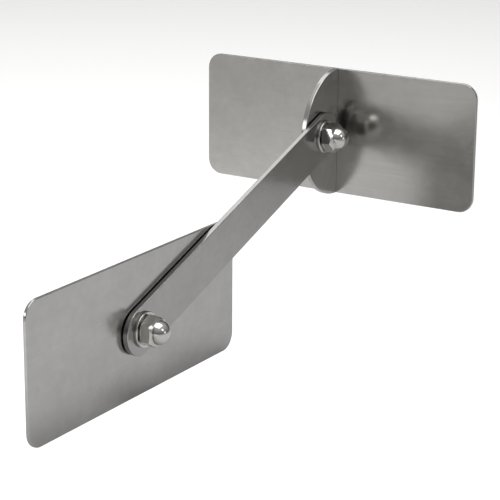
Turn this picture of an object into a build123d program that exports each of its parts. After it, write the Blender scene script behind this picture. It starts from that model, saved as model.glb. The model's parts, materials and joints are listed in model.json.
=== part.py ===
"""Friction stay hinge: a flat arm between a frame plate and a sash plate with an ear.

Units are millimetres. The frame plate lies in the YZ plane with its back on X = 0, and the
origin is the centre of that back face. Both pivot axes run along +X.
"""
from build123d import *
from math import cos, radians, sin, sqrt, tan
import os

# Sheet metal
plate_length = 120.0
plate_height = 50.0
plate_thickness = 1.2
plate_corner_radius = 6.0
arm_thickness = 2.0
arm_width = 17.0
arm_end_overhang = 10.0
ear_thickness = 2.0
ear_off_centre = 0.5
edge_radius = 0.25
ear_foot_chamfer = 0.2

# Where the pivots are
frame_pivot_y = 0.5
frame_pivot_drop = 0.55
pivot_spacing = 129.2
arm_rise = 19.7
ear_hole_standoff = 14.1
ear_hole_rise = 0.95

# Pivot studs, M6
stud_diameter = 6.0
stud_flange_diameter = 7.5
stud_flange_height = 0.3
stud_tip_chamfer = 0.8
stud_engagement = 5.4
pivot_hole_diameter = 6.15

# Washers: a nylon friction washer behind the arm and a steel flat washer in front
friction_washer_diameter = 12.4
friction_washer_hole = 7.9
friction_washer_thickness = 0.4
friction_washer_edge_radius = 0.1
flat_washer_diameter = 12.7
flat_washer_hole = 6.4
flat_washer_thickness = 1.1
flat_washer_edge_radius = 0.25
working_gap = 0.03

# Dome nuts
nut_across_flats = 10.0
nut_hex_height = 4.7
nut_face_diameter = 8.9
nut_chamfer_angle = 30.0
nut_dome_radius = 4.2
nut_dome_root_radius = 0.2
nut_bore_past_stud = 0.6
nut_mouth_chamfer = 0.25
frame_nut_turn = 29.0
sash_nut_turn = 15.0

# Stitch welds that hold the ear
weld_leg = 1.6
weld_throat = 1.3
weld_length = 9.0
weld_pitch = 17.0
weld_count = 3

# Levels along the pivot axes
plate_face_x = plate_thickness
arm_back_x = plate_face_x + friction_washer_thickness + working_gap
arm_face_x = arm_back_x + arm_thickness
washer_back_x = arm_face_x + working_gap
nut_seat_x = washer_back_x + flat_washer_thickness

# Places of both pivots, the ear and the sash plate
frame_pivot_z = -frame_pivot_drop
sash_pivot_y = frame_pivot_y + pivot_spacing * cos(radians(arm_rise))
sash_pivot_z = frame_pivot_z + pivot_spacing * sin(radians(arm_rise))
sash_face_y = sash_pivot_y + ear_hole_standoff
sash_centre_z = sash_pivot_z - ear_hole_rise
ear_back_x = plate_face_x - ear_thickness
ear_radius = plate_height / 2
sash_centre_x = plate_face_x - ear_thickness / 2 + ear_off_centre


def facing_x(x, y=0.0, z=0.0, turn=0.0):
    """Plane facing +X, whose own x is turned up from world +Y towards +Z by turn degrees."""
    own_x = (0, cos(radians(turn)), sin(radians(turn)))
    return Plane(origin=(x, y, z), x_dir=own_x, z_dir=(1, 0, 0))


def smallest_circle(builder, x):
    """The smallest round edge of a part at level x along the pivot axis."""
    circles = builder.edges().filter_by(GeomType.CIRCLE)
    return circles.filter_by_position(Axis.X, x, x).sort_by(SortBy.RADIUS)[0]


def make_plate(front):
    """Rounded rectangular plate with its face on the front plane and its body behind it."""
    with BuildPart() as plate:
        with BuildSketch(front):
            RectangleRounded(plate_length, plate_height, plate_corner_radius)
        extrude(amount=-plate_thickness)
        broad_faces = plate.faces().sort_by(SortBy.AREA)[-2:]
        fillet(broad_faces.edges(), edge_radius)
    return plate


def make_stud(y, z):
    """Weld stud standing on a face at plate_face_x: flange, shank and chamfered tip."""
    foot = facing_x(plate_face_x, y, z)
    with BuildPart() as stud:
        with BuildSketch(foot):
            Circle(stud_flange_diameter / 2)
        extrude(amount=stud_flange_height)
        with BuildSketch(foot):
            Circle(stud_diameter / 2)
        extrude(amount=nut_seat_x + stud_engagement - plate_face_x)
        chamfer(stud.edges().sort_by(Axis.X)[-1], stud_tip_chamfer)
    return stud


def make_washer(back, outer_diameter, hole_diameter, thickness, rounding):
    """Ring standing on the back plane, with its outer edges rounded by rounding."""
    with BuildPart() as washer:
        with BuildSketch(back):
            Circle(outer_diameter / 2)
            Circle(hole_diameter / 2, mode=Mode.SUBTRACT)
        extrude(amount=thickness)
        outer_edges = washer.edges().filter_by(GeomType.CIRCLE).sort_by(SortBy.RADIUS)[-2:]
        fillet(outer_edges, rounding)
    return washer


def make_dome_nut(y, z, turn):
    """Hexagon cap nut: corners cut by a cone at both ends, a domed cap and a blind bore."""
    seat = facing_x(nut_seat_x, y, z)
    corner_radius = nut_across_flats / sqrt(3)
    face_radius = nut_face_diameter / 2
    corner_drop = (corner_radius - face_radius) * tan(radians(nut_chamfer_angle))
    bore_radius = stud_diameter / 2
    with BuildPart() as nut:
        with BuildSketch(Plane(origin=seat.origin, x_dir=(0, 1, 0), z_dir=(0, 0, -1))):
            with BuildLine():
                hexagon = Polyline(
                    (0, 0),
                    (face_radius, 0),
                    (corner_radius, corner_drop),
                    (corner_radius, nut_hex_height - corner_drop),
                    (face_radius, nut_hex_height),
                    (nut_dome_radius, nut_hex_height),
                )
                top = (0, nut_hex_height + nut_dome_radius)
                dome = RadiusArc(hexagon @ 1, top, -nut_dome_radius)
                Line(dome @ 1, hexagon @ 0)
            make_face()
        revolve(axis=Axis(seat.origin, (1, 0, 0)))
        fillet(smallest_circle(nut, nut_seat_x + nut_hex_height), nut_dome_root_radius)
        with BuildSketch(facing_x(nut_seat_x, y, z, turn)):
            RegularPolygon(corner_radius, 6)
        extrude(amount=nut_hex_height + nut_dome_radius, mode=Mode.INTERSECT)
        with BuildSketch(seat):
            Circle(bore_radius)
        extrude(amount=stud_engagement + nut_bore_past_stud, mode=Mode.SUBTRACT)
        chamfer(smallest_circle(nut, nut_seat_x), nut_mouth_chamfer)
    return nut


def make_pivot(prefix, y, z, nut_turn):
    """The stud, washers and nut of the pivot whose axis passes through (y, z)."""
    return {
        f"{prefix}_stud": make_stud(y, z),
        f"{prefix}_friction_washer": make_washer(
            facing_x(plate_face_x, y, z),
            friction_washer_diameter,
            friction_washer_hole,
            friction_washer_thickness,
            friction_washer_edge_radius,
        ),
        f"{prefix}_flat_washer": make_washer(
            facing_x(washer_back_x, y, z),
            flat_washer_diameter,
            flat_washer_hole,
            flat_washer_thickness,
            flat_washer_edge_radius,
        ),
        f"{prefix}_dome_nut": make_dome_nut(y, z, nut_turn),
    }


# Arm: flat bar with full round ends, turned up from +Y by arm_rise
with BuildPart() as stay_arm:
    with BuildSketch(facing_x(arm_back_x, frame_pivot_y, frame_pivot_z, arm_rise)):
        with Locations((pivot_spacing / 2, 0)):
            SlotOverall(pivot_spacing + 2 * arm_end_overhang, arm_width)
        with Locations((0, 0), (pivot_spacing, 0)):
            Circle(pivot_hole_diameter / 2, mode=Mode.SUBTRACT)
    extrude(amount=arm_thickness)
    arm_broad_faces = stay_arm.faces().sort_by(SortBy.AREA)[-2:]
    arm_outlines = [face.outer_wire() for face in arm_broad_faces]
    fillet([edge for wire in arm_outlines for edge in wire.edges()], edge_radius)

# Ear: half disc as tall as the plate, with its straight side against the sash plate
with BuildPart() as pivot_ear:
    with BuildSketch(facing_x(ear_back_x, sash_face_y, sash_centre_z)):
        with BuildLine():
            ear_foot = Line((0, ear_radius), (0, -ear_radius))
            ThreePointArc(ear_foot @ 1, (-ear_radius, 0), ear_foot @ 0)
        make_face()
    extrude(amount=ear_thickness)
    fillet(pivot_ear.edges().filter_by(GeomType.CIRCLE), edge_radius)
    ear_front_foot = pivot_ear.edges().filter_by(Axis.Z).sort_by(Axis.X)[-1]
    chamfer(ear_front_foot, ear_foot_chamfer)

# Welds: short round-faced stitches in the corner behind the ear
with BuildPart() as ear_welds:
    for stitch in range(weld_count):
        stitch_z = sash_centre_z + (stitch - (weld_count - 1) / 2) * weld_pitch
        stitch_end = (ear_back_x, sash_face_y, stitch_z - weld_length / 2)
        with BuildSketch(Plane(origin=stitch_end, x_dir=(-1, 0, 0), z_dir=(0, 0, 1))):
            with BuildLine():
                corner_lines = Polyline((weld_leg, 0), (0, 0), (0, weld_leg))
                crown = weld_throat / sqrt(2)
                ThreePointArc(corner_lines @ 1, (crown, crown), corner_lines @ 0)
            make_face()
        extrude(amount=weld_length)

sash_front = Plane(
    origin=(sash_centre_x, sash_face_y, sash_centre_z),
    x_dir=(1, 0, 0),
    z_dir=(0, -1, 0),
)

pieces = {
    "frame_plate": make_plate(facing_x(plate_face_x)),
    **make_pivot("frame", frame_pivot_y, frame_pivot_z, frame_nut_turn),
    "stay_arm": stay_arm,
    "sash_plate": make_plate(sash_front),
    "pivot_ear": pivot_ear,
    "ear_welds": ear_welds,
    **make_pivot("sash", sash_pivot_y, sash_pivot_z, sash_nut_turn),
}

os.makedirs("parts", exist_ok=True)
for name, piece in pieces.items():
    piece.part.label = name
    export_step(piece.part, f"parts/{name}.step")
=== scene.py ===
import json
import math

import bmesh
import bpy
from mathutils import Matrix, Vector


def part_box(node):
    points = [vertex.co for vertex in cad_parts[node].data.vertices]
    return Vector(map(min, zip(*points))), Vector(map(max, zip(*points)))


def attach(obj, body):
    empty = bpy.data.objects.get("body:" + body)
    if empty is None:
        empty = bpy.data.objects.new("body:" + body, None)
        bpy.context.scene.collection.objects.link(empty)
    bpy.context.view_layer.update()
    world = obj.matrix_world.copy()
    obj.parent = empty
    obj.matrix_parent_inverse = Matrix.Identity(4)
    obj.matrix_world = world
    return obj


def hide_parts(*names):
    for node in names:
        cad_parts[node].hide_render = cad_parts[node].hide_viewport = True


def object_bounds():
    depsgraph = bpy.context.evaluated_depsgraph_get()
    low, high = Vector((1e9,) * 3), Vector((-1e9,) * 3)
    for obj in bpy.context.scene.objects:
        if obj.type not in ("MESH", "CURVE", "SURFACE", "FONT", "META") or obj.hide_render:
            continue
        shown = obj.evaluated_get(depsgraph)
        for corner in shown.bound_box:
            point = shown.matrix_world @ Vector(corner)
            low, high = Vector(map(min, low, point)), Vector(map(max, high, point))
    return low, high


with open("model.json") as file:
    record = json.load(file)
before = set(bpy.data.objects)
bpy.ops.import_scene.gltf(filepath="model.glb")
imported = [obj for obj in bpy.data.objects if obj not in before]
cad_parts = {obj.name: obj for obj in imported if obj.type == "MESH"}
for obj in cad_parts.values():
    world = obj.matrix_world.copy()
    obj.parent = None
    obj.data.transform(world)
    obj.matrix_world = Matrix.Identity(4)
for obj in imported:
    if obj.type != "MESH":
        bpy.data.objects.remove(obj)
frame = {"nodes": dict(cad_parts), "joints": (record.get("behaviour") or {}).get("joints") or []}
cad_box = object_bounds()
nodes = frame["nodes"]
MM = 0.001

# Colours, linear
STEEL = (0.420, 0.416, 0.408, 1.0)
STEEL_WARM = (0.420, 0.410, 0.391, 1.0)
# Lighter colour for the sheet's edge: wear, and a painted highlight
STEEL_WORN_AND_LIT = (0.56, 0.55, 0.535, 1.0)
POLISHED = (0.50, 0.49, 0.47, 1.0)
# Lighter colour for the fastener's edge: wear, and a painted highlight
POLISHED_WORN_AND_LIT = (0.66, 0.65, 0.63, 1.0)
NYLON = (0.012, 0.012, 0.013, 1.0)
WELD = (0.36, 0.345, 0.32, 1.0)
WELD_TINT = (0.40, 0.33, 0.20, 1.0)
PAPER = (0.93, 0.93, 0.92, 1.0)
WHITE = (1.0, 1.0, 1.0, 1.0)

# Sheet steel: scales are per metre, tones multiply the colour, bumps are (strength, height)
ALONG, ACROSS = 60.0, 1500.0
CLOUD_SCALE = (75.0, 75.0, 75.0)
MOTTLE_SCALE = (380.0, 380.0, 380.0)
CLOUD_DARK, CLOUD_LIGHT = 0.93, 1.07
MOTTLE_TONE, MOTTLE_MOST = 0.70, 0.22
GRAIN_TONE, GRAIN_MOST = 0.62, 0.13
CLOUD_ROUGHNESS = (0.0, 0.07)
GRAIN_ROUGHNESS = (0.135, 0.190)
GRAIN_BUMP = (0.12, 0.02 * MM)
MOTTLE_BUMP = (0.07, 0.05 * MM)
SHEET_EDGE = 0.35 * MM
ARM_TONE, EAR_TONE = 0.82, 0.97

# Polished fasteners, with turned rings
RING_STEP = 0.16 * MM
SMUDGE_SCALE = (260.0, 260.0, 260.0)
SMUDGE_ROUGHNESS = (0.0, 0.06)
RING_ROUGHNESS = (0.09, 0.13)
RING_BUMP = (0.15, 0.02 * MM)
FASTENER_EDGE = 0.3 * MM

# Nylon washers
NYLON_IOR = 1.53
MOULD_SCALE = (1800.0, 1800.0, 1800.0)
MOULD_TONE = 2.0
MOULD_ROUGHNESS = (0.42, 0.58)
MOULD_BUMP = (0.3, 0.03 * MM)

# Edge wear with a painted highlight: bevel samples, and the agreement of normals from the
# lightened edge to flat
EDGE_SAMPLES = 6
EDGE_AGREEMENT = (0.90, 0.995)

# Weld beads behind the ear
WELD_SCALE = (500.0, 500.0, 300.0)
WELD_ROUGHNESS = (0.26, 0.42)
WELD_BUMP = (0.25, 0.05 * MM)
BEAD_COUNT = 3
BEAD_LENGTH = 9.0 * MM
BEAD_RINGS = 108
BEAD_STEPS = 8
BEAD_FLATNESS = 0.12
BEAD_END_REACH = 0.25
BEAD_END_POWER = 6.0
RIPPLE_PITCH = 0.75 * MM
RIPPLE_DEPTH = 0.09
RIPPLE_LAG = 0.55

# Paper of the floor and the table
PAPER_ROUGHNESS = 0.9
PAPER_SPECULAR = 0.1

# Floor, low enough for the sash side to swing above it
FLOOR_LEVEL = -0.070
FLOOR_HALF_WIDTH = 8.0
FLOOR_GLOW = 0.12

# Mirrored table, whose colour holds painted light and shade: tones behind and before the frame
# plate, a painted falloff far from the middle, and a painted contact shadow at its foot
TABLE_DROP = 0.5 * MM
TABLE_HALF_WIDTH = 1.5
TABLE_REAR, TABLE_FRONT = 0.98, 0.74
TABLE_SIDES = (-0.12, -0.03)
TABLE_DIM = 0.65
TABLE_FADE = (0.12, 0.30)
FOOT_SHADE, FOOT_WIDTH = 0.80, 0.018
BAY_HALF_WIDTH = 0.10
BAY_EDGE = -0.10

# Sky: strengths at eye level and overhead, and the heights between which it changes
SKY_HORIZON, SKY_ZENITH = 0.215, 0.59
SKY_HEIGHTS = (0.15, 0.75)

# Softboxes: direction from the middle, distance, side and power
MIDDLE = Vector((0.0, 0.05, 0.0))
SOFTBOXES = {
    "overhead": ((0.0, -0.1, 1.0), 1.1, 1.0, 9.9),
    "side": ((0.79, -0.17, 0.59), 1.2, 0.25, 1.0),
    "rim": ((-0.505, -0.808, 0.298), 1.3, 0.30, 1.1),
    "back": ((-0.505, 0.446, 0.738), 1.2, 0.5, 1.0),
    "front": ((0.986, 0.067, 0.142), 1.2, 0.25, 0.5),
}

# Camera: metres, radians, and the lens in millimetres
CAMERA_PLACE = Vector((0.34496, -0.48132, 0.20515))
CAMERA_AZIMUTH = 0.55604
CAMERA_ELEVATION = 0.29214
CAMERA_ROLL = 0.00777
CAMERA_LENS = 132.11
CAMERA_NEAR = 0.05


# ---------------------------------------------------------------- node helpers

class Graph:
    """A material's node tree, with one short call for each kind of node it uses."""

    def __init__(self, name):
        self.material = bpy.data.materials.new(name)
        self.material.use_nodes = True
        self.nodes = self.material.node_tree.nodes
        self.links = self.material.node_tree.links
        self.shader = self.nodes["Principled BSDF"]

    def add(self, kind, **inputs):
        node = self.nodes.new(kind)
        for key, value in inputs.items():
            node.inputs[key.replace("_", " ")].default_value = value
        return node

    def link(self, source, target):
        self.links.new(source, target)

    def coordinates(self, scale, turn=0.0):
        """Object coordinates, turned about X by -turn and then scaled axis by axis."""
        place = self.add("ShaderNodeTexCoord")
        turned = self.add("ShaderNodeMapping", Rotation=(-turn, 0.0, 0.0))
        scaled = self.add("ShaderNodeMapping", Scale=scale)
        self.link(place.outputs["Object"], turned.inputs["Vector"])
        self.link(turned.outputs["Vector"], scaled.inputs["Vector"])
        return scaled.outputs["Vector"]

    def distance(self, location, scale):
        """Distance from the point at -location, counting only the axes that scale keeps."""
        place = self.add("ShaderNodeTexCoord")
        offset = self.add("ShaderNodeMapping", Location=location, Scale=scale)
        self.link(place.outputs["Object"], offset.inputs["Vector"])
        return self.vector_math("LENGTH", offset.outputs["Vector"])

    def noise(self, vector, detail=2.0, roughness=0.5):
        node = self.add("ShaderNodeTexNoise", Scale=1.0, Detail=detail, Roughness=roughness)
        self.link(vector, node.inputs["Vector"])
        return node.outputs["Fac"]

    def ranged(self, value, low, high, source=(0.3, 0.7)):
        """The value moved from the source range to low..high, and held inside it."""
        node = self.add("ShaderNodeMapRange", To_Min=low, To_Max=high)
        node.inputs["From Min"].default_value = source[0]
        node.inputs["From Max"].default_value = source[1]
        self.link(value, node.inputs["Value"])
        return node.outputs["Result"]

    def operate(self, kind, operation, sources):
        node = self.nodes.new(kind)
        node.operation = operation
        for socket, source in zip(node.inputs, sources):
            self.link(source, socket)
        return node.outputs["Value"]

    def number_math(self, operation, *sources):
        return self.operate("ShaderNodeMath", operation, sources)

    def vector_math(self, operation, *sources):
        return self.operate("ShaderNodeVectorMath", operation, sources)

    def mixed(self, factor, first, second):
        """The colour from first to second by factor; each is a socket or a plain colour."""
        node = self.nodes.new("ShaderNodeMix")
        node.data_type = "RGBA"
        self.link(factor, node.inputs["Factor"])
        for side, value in (("A", first), ("B", second)):
            socket = next(s for s in node.inputs if s.name == side and s.type == "RGBA")
            if hasattr(value, "links"):
                self.link(value, socket)
            else:
                socket.default_value = value
        return next(s for s in node.outputs if s.type == "RGBA")

    def edges(self, radius):
        """1 on an edge lightened for wear from touch and tooling and as a painted highlight, 0
        on a flat face.
        """
        rounded = self.add("ShaderNodeBevel", Radius=radius)
        rounded.samples = EDGE_SAMPLES
        true = self.add("ShaderNodeNewGeometry")
        agreement = self.vector_math(
            "DOT_PRODUCT", rounded.outputs["Normal"], true.outputs["Normal"]
        )
        return self.ranged(agreement, 1.0, 0.0, source=EDGE_AGREEMENT)

    def bump(self, height, strength, distance, under=None):
        node = self.add("ShaderNodeBump", Strength=strength, Distance=distance)
        self.link(height, node.inputs["Height"])
        if under is not None:
            self.link(under, node.inputs["Normal"])
        return node.outputs["Normal"]


# ------------------------------------------------------------------- materials

def shade_of(colour, factor):
    """The colour made darker or lighter by factor, and opaque."""
    return tuple(factor * c for c in colour[:3]) + (1.0,)


def sheet_steel(name, colour, grain_scale, turn=0.0):
    """Stainless sheet with a faint rolling grain; grain_scale is small along the grain."""
    g = Graph(name)
    g.shader.inputs["Metallic"].default_value = 1.0
    streaks = g.noise(g.coordinates(grain_scale, turn), detail=5.0, roughness=0.7)
    clouds = g.noise(g.coordinates(CLOUD_SCALE), detail=5.0, roughness=0.65)
    mottle = g.noise(g.coordinates(MOTTLE_SCALE), detail=3.0)
    cloud_softness = g.ranged(clouds, *CLOUD_ROUGHNESS)
    grain_softness = g.ranged(streaks, *GRAIN_ROUGHNESS)
    g.link(g.number_math("ADD", cloud_softness, grain_softness), g.shader.inputs["Roughness"])
    darkest, lightest = shade_of(colour, CLOUD_DARK), shade_of(colour, CLOUD_LIGHT)
    cloudy = g.mixed(g.ranged(clouds, 0.0, 1.0), darkest, lightest)
    mottled = g.mixed(g.ranged(mottle, 0.0, MOTTLE_MOST), cloudy, shade_of(colour, MOTTLE_TONE))
    grained = g.mixed(g.ranged(streaks, 0.0, GRAIN_MOST), mottled, shade_of(colour, GRAIN_TONE))
    # The edge takes a lighter colour: wear, and a painted highlight.
    g.link(g.mixed(g.edges(SHEET_EDGE), grained, STEEL_WORN_AND_LIT), g.shader.inputs["Base Color"])
    grain = g.bump(streaks, *GRAIN_BUMP)
    g.link(g.bump(mottle, *MOTTLE_BUMP, under=grain), g.shader.inputs["Normal"])
    return g.material


def polished_steel(name, centre):
    """Bright turned stainless: fine rings about the pivot axis through centre, corners lightened
    for wear and as a painted highlight.
    """
    g = Graph(name)
    g.shader.inputs["Metallic"].default_value = 1.0
    ring_noise = g.add("ShaderNodeTexNoise", Scale=1.0 / RING_STEP, Detail=2.0, Roughness=0.6)
    ring_noise.noise_dimensions = "1D"
    radius = g.distance((0.0, -centre[1], -centre[2]), (0.0, 1.0, 1.0))
    g.link(radius, ring_noise.inputs["W"])
    rings = ring_noise.outputs["Fac"]
    smudge = g.noise(g.coordinates(SMUDGE_SCALE), detail=3.0)
    smudge_softness = g.ranged(smudge, *SMUDGE_ROUGHNESS)
    ring_softness = g.ranged(rings, *RING_ROUGHNESS)
    g.link(g.number_math("ADD", smudge_softness, ring_softness), g.shader.inputs["Roughness"])
    worn_and_lit = g.edges(FASTENER_EDGE)
    # The edge takes a lighter colour: wear, and a painted highlight.
    g.link(g.mixed(worn_and_lit, POLISHED, POLISHED_WORN_AND_LIT), g.shader.inputs["Base Color"])
    g.link(g.bump(rings, *RING_BUMP), g.shader.inputs["Normal"])
    return g.material


def black_nylon():
    """Moulded nylon with a fine matt texture."""
    g = Graph("black_nylon")
    g.shader.inputs["IOR"].default_value = NYLON_IOR
    mould = g.noise(g.coordinates(MOULD_SCALE), detail=3.0)
    g.link(g.ranged(mould, *MOULD_ROUGHNESS), g.shader.inputs["Roughness"])
    g.link(g.mixed(mould, NYLON, shade_of(NYLON, MOULD_TONE)), g.shader.inputs["Base Color"])
    g.link(g.bump(mould, *MOULD_BUMP), g.shader.inputs["Normal"])
    return g.material


def weld_metal():
    """Rough weld metal with patches of straw tint."""
    g = Graph("weld_metal")
    g.shader.inputs["Metallic"].default_value = 1.0
    cloud = g.noise(g.coordinates(WELD_SCALE), detail=3.0)
    g.link(g.mixed(g.ranged(cloud, 0.0, 1.0), WELD, WELD_TINT), g.shader.inputs["Base Color"])
    g.link(g.ranged(cloud, *WELD_ROUGHNESS), g.shader.inputs["Roughness"])
    g.link(g.bump(cloud, *WELD_BUMP), g.shader.inputs["Normal"])
    return g.material


def paper(name):
    """The start of a matt paper material, whose colour is still to come."""
    g = Graph(name)
    g.shader.inputs["Roughness"].default_value = PAPER_ROUGHNESS
    g.shader.inputs["Specular IOR Level"].default_value = PAPER_SPECULAR
    return g


def floor_paper():
    """White paper that glows a little, so the floor stays white."""
    g = paper("studio_paper")
    g.shader.inputs["Base Color"].default_value = PAPER
    g.shader.inputs["Emission Color"].default_value = WHITE
    g.shader.inputs["Emission Strength"].default_value = FLOOR_GLOW
    return g.material


def table_paper_painted_shade():
    """Paper with painted shade in its colour: brightest round MIDDLE, a painted falloff far from
    it, and a painted contact shadow along the frame plate's foot.
    """
    g = paper("table_paper_painted_shade")
    reach = g.distance((-MIDDLE[0], -MIDDLE[1], 0.0), (1.0, 1.0, 0.0))
    # Painted falloff: darker far from MIDDLE.
    far = g.ranged(reach, 1.0, TABLE_DIM, source=TABLE_FADE)
    split = g.add("ShaderNodeSeparateXYZ")
    g.link(g.add("ShaderNodeTexCoord").outputs["Object"], split.inputs["Vector"])
    away = g.number_math("ABSOLUTE", split.outputs["X"])
    # Painted contact shadow along the frame plate's foot.
    foot = g.ranged(away, FOOT_SHADE, 1.0, source=(0.0, FOOT_WIDTH))
    # Painted light: lighter behind the frame plate than before it.
    sides = g.ranged(split.outputs["X"], TABLE_REAR, TABLE_FRONT, source=TABLE_SIDES)
    shade = g.number_math("MULTIPLY", far, foot)
    g.link(g.number_math("MULTIPLY", shade, sides), g.shader.inputs["Base Color"])
    return g.material


# ----------------------------------------------------------------------- pieces

def new_object(name, data):
    """A new object in the scene that holds data: a mesh, a light or a camera."""
    item = bpy.data.objects.new(name, data)
    bpy.context.scene.collection.objects.link(item)
    return item


def paint(node_name, material):
    mesh = nodes[node_name].data
    mesh.materials.clear()
    mesh.materials.append(material)


def paint_sheets(arm_rise):
    """Sheet steel on the four sheets, each with its grain along its own length."""
    arm_colour, ear_colour = shade_of(STEEL, ARM_TONE), shade_of(STEEL, EAR_TONE)
    along_y = (ACROSS, ALONG, ACROSS)
    paint("frame_plate", sheet_steel("frame_sheet", STEEL, along_y))
    paint("stay_arm", sheet_steel("arm_sheet", arm_colour, along_y, arm_rise))
    paint("sash_plate", sheet_steel("sash_sheet", STEEL_WARM, (ALONG, ACROSS, ACROSS)))
    paint("pivot_ear", sheet_steel("ear_sheet", ear_colour, (ACROSS, ACROSS, ALONG)))


def paint_fasteners(pivots):
    """Bright steel on each pivot's stud, flat washer and nut, and nylon behind the arm."""
    nylon = black_nylon()
    for side in ("frame", "sash"):
        bright = polished_steel(f"{side}_bright", pivots[f"{side}_pivot"])
        for part in ("stud", "flat_washer", "dome_nut"):
            paint(f"{side}_{part}", bright)
        paint(f"{side}_friction_washer", nylon)


def bead_ring(corner, leg, low, high, along):
    """One ring of a bead: an arc from sheet to sheet, and the corner that closes it."""
    height = low + along * (high - low)
    ends = (1.0 - abs(2.0 * along - 1.0) ** BEAD_END_POWER) ** 0.5
    full_reach = leg * (BEAD_END_REACH + (1.0 - BEAD_END_REACH) * ends)
    ring = []
    for step in range(BEAD_STEPS + 1):
        angle = 0.5 * math.pi * step / BEAD_STEPS
        lag = RIPPLE_LAG * math.sin(2.0 * angle)
        wave = abs(math.sin(math.pi * ((height - low) / RIPPLE_PITCH - lag)))
        reach = full_reach * (1.0 - RIPPLE_DEPTH * (1.0 - wave))
        bulge = 1.0 - BEAD_FLATNESS * math.sin(2.0 * angle)
        ring.append((
            corner[0] - reach * bulge * math.cos(angle),
            corner[1] - reach * bulge * math.sin(angle),
            height,
        ))
    ring.append((corner[0], corner[1], height))
    return ring


def weld_bead(verts, faces, corner, leg, low, high):
    """Adds one rippled stitch in the corner between two sheets, from height low to high."""
    first = len(verts)
    for ring in range(BEAD_RINGS + 1):
        verts.extend(bead_ring(corner, leg, low, high, ring / BEAD_RINGS))
    row = BEAD_STEPS + 2
    last = first + BEAD_RINGS * row
    for start in range(first, last, row):
        for step in range(row):
            here = start + step
            beside = start + (step + 1) % row
            faces.append((here, beside, beside + row, here + row))
    faces.append(tuple(first + step for step in reversed(range(row))))
    faces.append(tuple(last + step for step in range(row)))


def outward_mesh(name, verts, faces):
    """A mesh whose faces all point outwards, smooth on its four-sided faces."""
    mesh = bpy.data.meshes.new(name)
    mesh.from_pydata(verts, [], faces)
    edit = bmesh.new()
    edit.from_mesh(mesh)
    bmesh.ops.recalc_face_normals(edit, faces=edit.faces)
    edit.to_mesh(mesh)
    edit.free()
    for polygon in mesh.polygons:
        polygon.use_smooth = len(polygon.vertices) == 4
    return mesh


def make_welds():
    """Rippled beads in the corner behind the ear, in place of the plain CAD stitches."""
    low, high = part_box("ear_welds")
    corner = (high[0], high[1])
    leg = high[0] - low[0]
    pitch = (high[2] - low[2] - BEAD_LENGTH) / (BEAD_COUNT - 1)
    verts, faces = [], []
    for bead in range(BEAD_COUNT):
        start = low[2] + bead * pitch
        weld_bead(verts, faces, corner, leg, start, start + BEAD_LENGTH)
    mesh = outward_mesh("weld_beads", verts, faces)
    mesh.materials.append(weld_metal())
    beads = new_object("weld_beads", mesh)
    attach(beads, "sash_side")
    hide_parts("ear_welds")


# ------------------------------------------------------------- floor and light

def flat_mesh(name, points, level, faces, material):
    """A level mesh through (x, y) points, in one material."""
    mesh = bpy.data.meshes.new(name)
    mesh.from_pydata([(x, y, level) for x, y in points], [], faces)
    mesh.materials.append(material)
    return mesh


def make_floor():
    half = FLOOR_HALF_WIDTH
    corners = [(-half, -half), (half, -half), (half, half), (-half, half)]
    mesh = flat_mesh("studio_floor", corners, FLOOR_LEVEL, [(0, 1, 2, 3)], floor_paper())
    floor = new_object("studio_floor", mesh)


def make_table():
    """White table top just under the object, which the steel mirrors and no view shows.

    A bay is cut out of it where the sash side swings below it.
    """
    across = (-TABLE_HALF_WIDTH, -BAY_HALF_WIDTH, BAY_HALF_WIDTH, TABLE_HALF_WIDTH)
    along = (-TABLE_HALF_WIDTH, BAY_EDGE, TABLE_HALF_WIDTH)
    points = [(x, y) for y in along for x in across]
    faces = [(0, 1, 5, 4), (2, 3, 7, 6), (4, 5, 9, 8), (5, 6, 10, 9), (6, 7, 11, 10)]
    level = cad_box[0][2] - TABLE_DROP
    mesh = flat_mesh("mirror_table", points, level, faces, table_paper_painted_shade())
    table = new_object("mirror_table", mesh)
    table.visible_camera = False
    table.visible_diffuse = False
    table.visible_transmission = False
    table.visible_shadow = False


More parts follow.
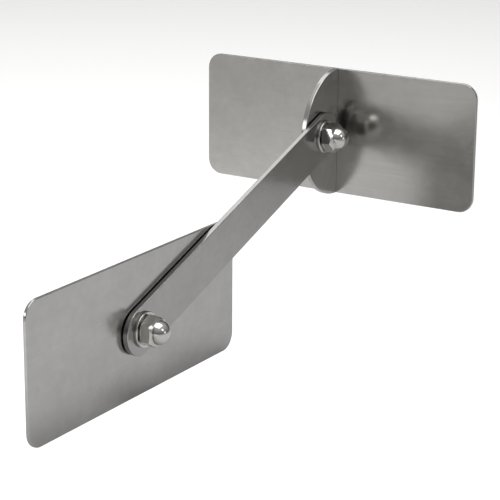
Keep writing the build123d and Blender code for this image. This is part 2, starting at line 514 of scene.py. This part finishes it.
def make_softbox(name, direction, distance, size, power):
    """A square light at distance from MIDDLE, turned to face it."""
    light = bpy.data.lights.new(name, "AREA")
    light.shape = "SQUARE"
    light.size = size
    light.energy = power
    lamp = new_object(name, light)
    towards = Vector(direction).normalized()
    lamp.location = MIDDLE + towards * distance
    lamp.rotation_euler = (-towards).to_track_quat("-Z", "Y").to_euler()


def make_sky():
    """Soft studio surround, dimmer at eye level than overhead."""
    world = bpy.data.worlds.new("studio")
    bpy.context.scene.world = world
    world.use_nodes = True
    tree = world.node_tree
    background = tree.nodes["Background"]
    place = tree.nodes.new("ShaderNodeTexCoord")
    split = tree.nodes.new("ShaderNodeSeparateXYZ")
    height = tree.nodes.new("ShaderNodeMapRange")
    height.inputs["From Min"].default_value = SKY_HEIGHTS[0]
    height.inputs["From Max"].default_value = SKY_HEIGHTS[1]
    height.inputs["To Min"].default_value = SKY_HORIZON
    height.inputs["To Max"].default_value = SKY_ZENITH
    tree.links.new(place.outputs["Generated"], split.inputs["Vector"])
    tree.links.new(split.outputs["Z"], height.inputs["Value"])
    tree.links.new(height.outputs["Result"], background.inputs["Strength"])
    background.inputs["Color"].default_value = WHITE


def make_camera():
    data = bpy.data.cameras.new("photo_view")
    data.lens = CAMERA_LENS
    data.clip_start = CAMERA_NEAR
    camera = new_object("photo_view", data)
    azimuth = Matrix.Rotation(CAMERA_AZIMUTH, 4, "Z")
    tilt = Matrix.Rotation(math.pi / 2 - CAMERA_ELEVATION, 4, "X")
    roll = Matrix.Rotation(CAMERA_ROLL, 4, "Z")
    camera.matrix_world = Matrix.Translation(CAMERA_PLACE) @ azimuth @ tilt @ roll
    bpy.context.scene.camera = camera


# -------------------------------------------------------------------- the scene

pivots = {j["name"]: Vector(j["pos_m"]) for j in frame["joints"]}
arm_direction = pivots["sash_pivot"] - pivots["frame_pivot"]
paint_sheets(math.atan2(arm_direction.z, arm_direction.y))
paint_fasteners(pivots)
make_welds()

make_camera()
make_floor()
make_sky()
make_table()
for name, (direction, distance, size, power) in SOFTBOXES.items():
    make_softbox(name, direction, distance, size, power)
bpy.context.scene.view_settings.view_transform = "Standard"
